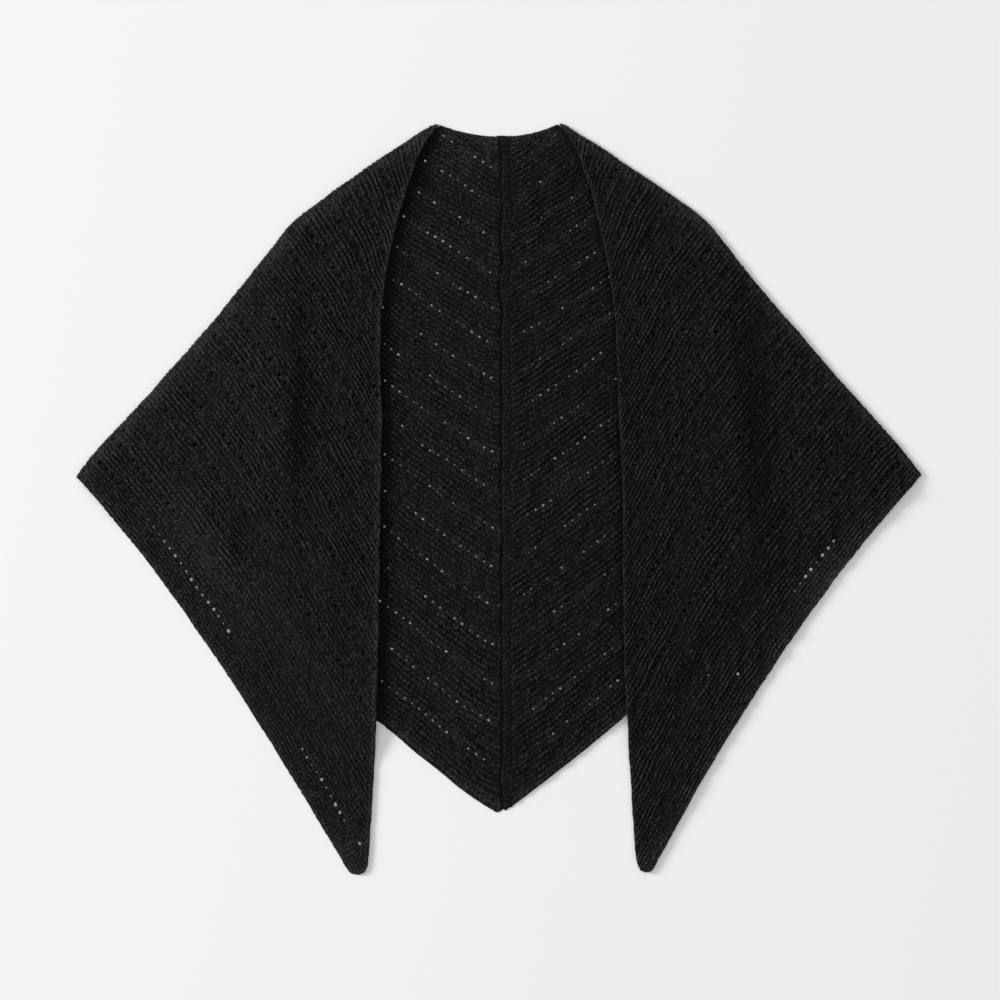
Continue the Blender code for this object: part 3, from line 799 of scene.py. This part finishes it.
def stitch_tree(name, kind):
    """Geometry Nodes that raise the stitches: garter ridges of purl bumps, or the plain columns of the rib."""
    tree = bpy.data.node_groups.new(name, "GeometryNodeTree")
    face = tree.interface
    face.new_socket("Geometry", in_out="INPUT", socket_type="NodeSocketGeometry")
    for label in ("Ridge height", "Bump height", "Stray height", "Wander"):
        face.new_socket(label, in_out="INPUT", socket_type="NodeSocketFloat")
    face.new_socket("Yarn", in_out="INPUT", socket_type="NodeSocketMaterial")
    face.new_socket("Geometry", in_out="OUTPUT", socket_type="NodeSocketGeometry")
    given = add(tree, "NodeGroupInput").outputs
    wires = {label: given[label + " height"] for label in ("Ridge", "Bump", "Stray")}
    for label in ("row", "stitch", "depth"):
        wires[label] = add(tree, "GeometryNodeInputNamedAttribute", {"Name": label}, data_type="FLOAT").outputs[0]
    spot = add(tree, "GeometryNodeInputPosition").outputs[0]
    wires["Wander"] = given["Wander"]
    wires["noise"] = add(tree, "ShaderNodeTexNoise", {"Vector": spot, "Scale": 300.0, "Detail": 2.0}).outputs[0]
    waves = add(tree, "ShaderNodeTexNoise", {"Vector": spot, "Scale": 150.0, "Detail": 2.0}).outputs["Color"]
    waves = add(tree, "ShaderNodeSeparateXYZ", {0: waves}).outputs
    wires["along"], wires["over"] = waves[0], waves[1]
    steps = (
        ("along", "SUBTRACT", "along", 0.5),
        ("stitch", "MULTIPLY_ADD", "along", "Wander", "stitch"),
        ("over", "SUBTRACT", "over", 0.5),
        ("row", "MULTIPLY_ADD", "over", "Wander", "row"),
        ("across", "MULTIPLY", "row", 2 * math.pi),
        ("wave", "COSINE", "across"),
        ("crown", "MULTIPLY_ADD", "wave", 0.5, 0.5),
        ("crown", "POWER", "crown", 0.7),
        ("side", "SINE", "across"),
        ("turn", "MULTIPLY", "stitch", 2 * math.pi),
        ("turn", "MULTIPLY_ADD", "side", LOOKS[kind]["lean"], "turn"),
        ("bump", "COSINE", "turn"),
        ("bump", "MULTIPLY", "bump", "Bump"),
        ("raised", "MULTIPLY_ADD", "crown", "Ridge", "bump"),
        ("stray", "MULTIPLY_ADD", "noise", 2.0, -1.0),
        ("raised", "MULTIPLY_ADD", "stray", "Stray", "raised"),
        ("raised", "MULTIPLY", "raised", "depth"),
        ("share", "DIVIDE", "raised", "Ridge"),
    )
    for label, operation, *parts in steps:
        inputs = {k: wires[part] if isinstance(part, str) else part for k, part in enumerate(parts)}
        wires[label] = add(tree, "ShaderNodeMath", inputs, operation=operation).outputs[0]
    outward = add(tree, "GeometryNodeInputNamedAttribute", {"Name": "outward"}, data_type="FLOAT_VECTOR").outputs[0]
    offset = add(tree, "ShaderNodeVectorMath", {0: outward, "Scale": wires["raised"]}, operation="SCALE").outputs[0]
    shape = add(tree, "GeometryNodeSetPosition", {"Geometry": given["Geometry"], "Offset": offset}).outputs[0]
    for label, wire in (("crest", "share"), ("row", "row"), ("stitch", "stitch")):
        shape = add(tree, "GeometryNodeStoreNamedAttribute", {"Geometry": shape, "Name": label, "Value": wires[wire]},
                    data_type="FLOAT", domain="POINT").outputs[0]
    shape = add(tree, "GeometryNodeSetShadeSmooth", {0: shape}).outputs[0]
    shape = add(tree, "GeometryNodeRealizeInstances", {0: shape}).outputs[0]
    shape = add(tree, "GeometryNodeSetMaterial", {"Geometry": shape, "Material": given["Yarn"]}).outputs[0]
    add(tree, "NodeGroupOutput", {0: shape})
    return tree


def apply_tree(piece, tree, inputs):
    """Runs a tree on a piece with its inputs set by their identifiers, and leaves a plain mesh."""
    modifier = piece.modifiers.new("Stitches", "NODES")
    modifier.node_group = tree
    for item in tree.interface.items_tree:
        if item.in_out == "INPUT" and item.name in inputs:
            modifier[item.identifier] = inputs[item.name]
    graph = bpy.context.evaluated_depsgraph_get()
    mesh = bpy.data.meshes.new_from_object(piece.evaluated_get(graph))
    piece.modifiers.remove(modifier)
    old = piece.data
    piece.data = mesh
    mesh.name = piece.name
    bpy.data.meshes.remove(old)


# flat darkens the yarn and lessens its grain: painted shade on the right halves, and a slightly darker tone on the rib
def cashmere(name, colours, kind, flat=0.0):
    """Dyed cashmere, spun and knitted: matt and almost black, lighter on the ridges with painted shade in the valleys
    between them, dark gaps between the stitches, and a grain of hairs in every direction. Where the nap mark is above 0
    it shows lighter, with raised hairs and in places a painted highlight; below 0 it is darker with painted shade. flat
    makes it darker and smoother."""
    look = LOOKS[kind]
    material = bpy.data.materials.new(name)
    material.use_nodes = True
    tree = material.node_tree
    shader = tree.nodes["Principled BSDF"]
    shader.inputs["Roughness"].default_value = 0.92
    shader.inputs["Specular IOR Level"].default_value = 0.08
    shader.inputs["IOR"].default_value = 1.45
    shader.inputs["Sheen Weight"].default_value = 0.07
    shader.inputs["Sheen Roughness"].default_value = 0.6
    shader.inputs["Sheen Tint"].default_value = (*colours.haze, 1.0)
    spot = add(tree, "ShaderNodeTexCoord").outputs["Object"]
    wires = {label: add(tree, "ShaderNodeAttribute", attribute_name=label).outputs["Fac"]
             for label in ("row", "stitch", "depth", "nap", "crest")}
    # Grain and flecks of 2 mm, streaks of about 9 mm and areas of about 45 mm where the nap hides the stitches
    for label, scale, detail in (("grain", 430.0, 2.0), ("fleck", 470.0, 1.0), ("streak", 115.0, 1.0),
                                 ("fuzz", 22.0, 2.0)):
        inputs = {"Vector": spot, "Scale": scale, "Detail": detail, "Roughness": 0.7}
        wires[label] = add(tree, "ShaderNodeTexNoise", inputs).outputs[0]
    # Dark gaps between the stitches, 3.3 mm apart
    cells = {"Vector": spot, "Scale": 300.0, "Randomness": 0.85}
    wires["gap"] = add(tree, "ShaderNodeTexVoronoi", cells, feature="F1").outputs["Distance"]
    steps = (
        ("across", "MULTIPLY", "row", 2 * math.pi),
        ("wave", "COSINE", "across"),
        ("side", "SINE", "across"),
        ("turn", "MULTIPLY", "stitch", 2 * math.pi),
        ("turn", "MULTIPLY_ADD", "side", look["lean"], "turn"),
        ("loop", "COSINE", "turn"),
        ("place", "MULTIPLY_ADD", "row", 1 / EYELET_EVERY, 0.5 - EYELET_FIRST / EYELET_EVERY),
        ("place", "FRACT", "place"),
        ("place", "SUBTRACT", "place", 0.5),
        ("band", "ABSOLUTE", "place"),
        ("band", "MULTIPLY_ADD", "band", 3.4, 0.3),
        ("band", "MINIMUM", "band", 1.0),
        ("crisp", "MULTIPLY_ADD", "fuzz", 1.6, -0.3),
        ("crisp", "ADD", "crisp", "depth"),
        ("crisp", "MAXIMUM", "crisp", 0.25),
        ("crisp", "MULTIPLY", "crisp", "band"),
        ("half", "MULTIPLY_ADD", "side", 0.25, "stitch"),
        ("cell", "ROUND", "half"),
        ("number", "ROUND", "row"),
    )
    # crest and the rows' wave lighten the ridge tops and darken the valleys between them: painted shade
    weights = (("chance", 0.26), ("grain", look["grain"] - 7.0 * flat), ("gap", look["gap"]), ("streak", 0.5),
               ("crest", 0.10), ("nap", 0.24), ("band", look["band"]), ("fleck", 1.0))
    later = (
        ("value", "MULTIPLY_ADD", "loop", 0.13, 0.0),
        ("value", "MULTIPLY_ADD", "wave", look["wave"], "value"),
        ("dots", "ADD", "loop", "wave"),
        ("dots", "MULTIPLY_ADD", "dots", -0.5, -0.35),
        ("dots", "MAXIMUM", "dots", 0.0),
        ("value", "MULTIPLY_ADD", "dots", look["dots"], "value"),
        ("value", "MULTIPLY", "value", "crisp"),
        ("grain", "SUBTRACT", "grain", 0.5),
        ("gap", "SUBTRACT", 0.36, "gap"),
        ("gap", "MAXIMUM", "gap", 0.0),
        ("gap", "MULTIPLY", "gap", "crisp"),
        ("fleck", "MULTIPLY_ADD", "fleck", 8.0, -4.95),
        ("fleck", "MAXIMUM", "fleck", 0.0),
        ("open", "MULTIPLY_ADD", "band", *look["open"]),
        ("edge", "MAXIMUM", "nap", 0.0),
        ("open", "MULTIPLY_ADD", "edge", 1.2, "open"),
        ("fleck", "MULTIPLY", "fleck", "open"),
        *(("value", "MULTIPLY_ADD", label, weight, "value") for label, weight in weights),
        ("value", "ADD", "value", look["base"] - flat),
        ("value", "MAXIMUM", "value", 0.0),
        ("tone", "POWER", "value", 1.35),
        ("tone", "MINIMUM", "tone", 1.0),
    )
    for recipe in (steps, later):
        for label, operation, *parts in recipe:
            inputs = {k: wires[part] if isinstance(part, str) else part for k, part in enumerate(parts)}
            wires[label] = add(tree, "ShaderNodeMath", inputs, operation=operation).outputs[0]
        if recipe is steps:
            place = add(tree, "ShaderNodeCombineXYZ", {0: wires["cell"], 1: wires["number"]}).outputs[0]
            wires["chance"] = add(tree, "ShaderNodeTexWhiteNoise", {"Vector": place}).outputs["Value"]
    colour = add(tree, "ShaderNodeMix", {0: wires["tone"], 6: (*colours.shade, 1.0), 7: (*colours.yarn, 1.0)},
                 data_type="RGBA").outputs[2]
    tree.links.new(colour, shader.inputs["Base Color"])
    bump = add(tree, "ShaderNodeBump", {"Strength": 0.5, "Distance": 1.2 * MM, "Height": wires["value"]}).outputs[0]
    tree.links.new(bump, shader.inputs["Normal"])
    return material


def settings():
    scene = bpy.context.scene
    return scene.shawl_sizes, scene.shawl_colours, scene.shawl_stage


def drifts(seed):
    return {"open": Drift(seed, 45, 160), "patch": Drift(seed + 1, 14, 90, 14)}


def waver_by(size, seed):
    """Plan offset by which rows and edges wander."""
    waves = Drift(seed, 45, 150), Drift(seed + 1, 45, 150)
    return lambda plan: np.stack([wave.at(plan) for wave in waves], axis=1) * size * 0.5


def wing_openness(side, number, plan):
    """Chance that an eyelet is open: always over the body, and past its hem only along a few stretches."""
    felted = past_body_hem(side, plan) > HEM_OVERHANG
    chance = np.where(felted, 0.08, 1.0)
    if number == OPEN_HEM_ROW:
        for low, high in OPEN_AT[side]:
            chance = np.where((plan[:, 0] > low * MM) & (plan[:, 0] < high * MM), 0.97, chance)
    return chance


def body_length(side, row):
    end = body_end(side, row)
    return math.hypot(end[0] - RIB_EDGE[side], end[1] - chevron_y(side, row, RIB_EDGE[side]))


def dress(cloth, name, solid, tree, inputs):
    """Makes a piece from its cloth, raises its stitches, and has it stand for its solid."""
    sizes = settings()[0]
    piece = as_object(cloth, name, waver_by(sizes.waver, sizes.seed))
    apply_tree(piece, tree, {"Stray height": sizes.stray, **inputs})
    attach(piece, "root")
    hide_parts(solid)
    return piece


class SHAWL_OT_body(bpy.types.Operator):
    """Knits the two halves of the body that lies on the surface"""

    bl_idname = "shawl.body"
    bl_label = "Body"

    def execute(self, context):
        sizes, colours, _ = settings()
        tree = stitch_tree("Garter stitch of the body", "body")
        for k, side in enumerate(("left", "right")):
            # The right half's material is a darker copy: painted shade
            yarn = cashmere(f"cashmere_garter_body_{side}", colours, "body", RIGHT_HALF_PAINTED_SHADE * k)
            drift = drifts(sizes.seed + 20 + k)
            cloth = knit(partial(body_line, side), partial(body_length, side), NECK_START, LAST_ROW[side], sizes,
                         sizes.seed + k, drift,
                         lambda number, plan: sizes.open_share - FEWER_OPEN * k + 0.35 * drift["open"].at(plan),
                         lambda number: 1.0 - SMALLER_OPEN * k)
            piece = dress(cloth, f"body_{side}_knit", f"back_{side}", tree,
                          {"Ridge height": 0.85 * sizes.ridge, "Bump height": 1.2 * sizes.bump,
                           "Wander": 1.3 * sizes.wander, "Yarn": yarn})
        return {"FINISHED"}


class SHAWL_OT_wings(bpy.types.Operator):
    """Knits the two wings that are folded over the body"""

    bl_idname = "shawl.wings"
    bl_label = "Wings"

    def execute(self, context):
        sizes, colours, _ = settings()
        tree = stitch_tree("Garter stitch of the wings", "wing")
        for k, side in enumerate(("left", "right")):
            # The right half's material is a darker copy: painted shade
            yarn = cashmere(f"cashmere_garter_wing_{side}", colours, "wing", RIGHT_HALF_PAINTED_SHADE * k)
            cloth = knit(partial(wing_line, side), lambda row: sum(wing_length(side, row)), FIRST_ROW,
                         LAST_ROW[side], sizes, sizes.seed + 4 + k, drifts(sizes.seed + 30 + k),
                         partial(wing_openness, side), lambda number: 1.3 if number == OPEN_HEM_ROW else 1.08)
            piece = dress(cloth, f"wing_{side}_knit", f"front_{side}", tree,
                          {"Ridge height": sizes.ridge, "Bump height": sizes.bump, "Wander": sizes.wander,
                           "Yarn": yarn})
        return {"FINISHED"}


class SHAWL_OT_rib(bpy.types.Operator):
    """Knits the middle rib in stocking stitch"""

    bl_idname = "shawl.rib"
    bl_label = "Middle rib"

    def execute(self, context):
        sizes, colours, _ = settings()
        low_left, low_right = (float(chevron_y(side, LAST_ROW[side], x)) for side, x in RIB_EDGE.items())
        steps = 6 * round((NECK_DEPTH - low_left) / (0.93 * sizes.stitch))
        across, heights, wales = RIB_PROFILE.T
        left, right = RIB_EDGE["left"] - RIB_TUCK, RIB_EDGE["right"] + RIB_TUCK
        x = left + (right - left) * across
        ends = low_left + (low_right - low_left) * smooth_step(across)
        ends = ends - RIB_LOBE * hump(across - 0.3, 0.2)
        cloth = Cloth()
        tops, lows = [], []
        for j in range(steps + 1):
            share = j / steps
            y = NECK_DEPTH + (ends - NECK_DEPTH) * share
            thin = rising(EDGE_THIN, min(share, 1 - share) * steps / 4)
            top = np.column_stack([x, y, REST + CLOTH * heights * thin])
            # The rib's mark is below 0, which darkens it, and lowest at its edges: painted shade along the grooves
            # beside it
            marks = np.column_stack([wales, np.full(len(x), j / 6.0), np.minimum(heights, 1.0) * thin,
                                     np.minimum(heights - 1.25, -0.35)])
            tops.append(cloth.put(top, np.tile((0.0, 0.0, 1.0), (len(x), 1)), marks))
            if j % 6 == 0 or j == steps:
                low = np.column_stack([x[[0, -1]], y[[0, -1]], np.full(2, REST)])
                marks = np.tile((0.0, j / 6.0, 0.0, -1.0), (2, 1))
                lows.append((j, cloth.put(low, np.tile((0.0, 0.0, -1.0), (2, 1)), marks)))
        for a, b in zip(tops[:-1], tops[1:]):
            cloth.strip(a, b)
        for (_, a), (_, b) in zip(lows[:-1], lows[1:]):
            cloth.strip(a, b)
        cloth.zip(tops[0], lows[0][1])
        cloth.zip(tops[-1], lows[-1][1])
        close_ends(cloth, [(j, line[0], line[-1]) for j, line in enumerate(tops)],
                   [(j, line[0], line[-1]) for j, line in lows])
        piece = dress(cloth, "middle_rib_knit", "middle_rib", stitch_tree("Stocking stitch of the rib", "rib"),
                      {"Ridge height": 0.25 * MM, "Bump height": 0.18 * MM, "Wander": 0.9,
                       "Yarn": cashmere("cashmere_stocking_rib", colours, "rib", 0.02)})
        return {"FINISHED"}


class SHAWL_OT_stage(bpy.types.Operator):
    """Lays the pale surface, and sets the lights and the camera straight above it"""

    bl_idname = "shawl.stage"
    bl_label = "Stage"

    def execute(self, context):
        _, colours, stage = settings()
        scene = context.scene
        mesh = bpy.data.meshes.new("floor")
        half = 4.0
        mesh.from_pydata([(-half, -half, 0), (half, -half, 0), (half, half, 0), (-half, half, 0)], [], [(0, 1, 2, 3)])
        floor = bpy.data.objects.new("floor", mesh)
        scene.collection.objects.link(floor)
        paper = bpy.data.materials.new("matt_white_paper")
        paper.use_nodes = True
        shader = paper.node_tree.nodes["Principled BSDF"]
        shader.inputs["Base Color"].default_value = (*colours.floor, 1.0)
        shader.inputs["Roughness"].default_value = 0.9
        shader.inputs["Specular IOR Level"].default_value = 0.1
        mesh.materials.append(paper)
        key = bpy.data.lights.new("soft_key", "AREA")
        key.shape = "DISK"
        key.size = 3.2
        key.energy = stage.key
        distance, azimuth, height = 11.0, math.radians(167), math.radians(18)
        place = Vector((math.cos(azimuth) * math.cos(height), math.sin(azimuth) * math.cos(height), math.sin(height)))
        light = bpy.data.objects.new("soft_key", key)
        light.location = distance * place
        light.rotation_euler = (-place).to_track_quat("-Z", "Y").to_euler()
        scene.collection.objects.link(light)
        world = bpy.data.worlds.new("room")
        scene.world = world
        world.use_nodes = True
        sky = world.node_tree.nodes["Background"]
        sky.inputs["Color"].default_value = (1.0, 1.0, 0.997, 1.0)
        sky.inputs["Strength"].default_value = stage.sky
        data = bpy.data.cameras.new("camera")
        data.lens = stage.lens
        data.sensor_width = 36.0
        data.clip_end = 50.0
        camera = bpy.data.objects.new("camera", data)
        camera.location = (CENTRING[0], CENTRING[1] - CAMERA_DOWN, stage.across * stage.lens / data.sensor_width)
        scene.collection.objects.link(camera)
        scene.camera = camera
        scene.view_settings.view_transform = "Standard"
        return {"FINISHED"}


OPERATORS = (SHAWL_OT_body, SHAWL_OT_wings, SHAWL_OT_rib, SHAWL_OT_stage)


class SHAWL_PT_panel(bpy.types.Panel):
    """Lists the pieces of the shawl"""

    bl_idname = "SHAWL_PT_panel"
    bl_label = "Shawl"
    bl_space_type = "VIEW_3D"
    bl_region_type = "UI"
    bl_category = "Shawl"

    def draw(self, context):
        for operator in OPERATORS:
            self.layout.operator(operator.bl_idname)
        for group in settings():
            box = self.layout.box()
            for name in group.bl_rna.properties.keys():
                if name not in ("rna_type", "name"):
                    box.prop(group, name)


CLASSES = (KnitSizes, YarnColours, StageSizes, *OPERATORS, SHAWL_PT_panel)


def register():
    for item in CLASSES:
        bpy.utils.register_class(item)
    bpy.types.Scene.shawl_sizes = PointerProperty(type=KnitSizes)
    bpy.types.Scene.shawl_colours = PointerProperty(type=YarnColours)
    bpy.types.Scene.shawl_stage = PointerProperty(type=StageSizes)


def unregister():
    del bpy.types.Scene.shawl_stage
    del bpy.types.Scene.shawl_colours
    del bpy.types.Scene.shawl_sizes
    for item in reversed(CLASSES):
        bpy.utils.unregister_class(item)


def main():
    register()
    bpy.ops.shawl.stage()
    bpy.ops.shawl.body()
    bpy.ops.shawl.wings()
    bpy.ops.shawl.rib()


if __name__ == "__main__":
    main()
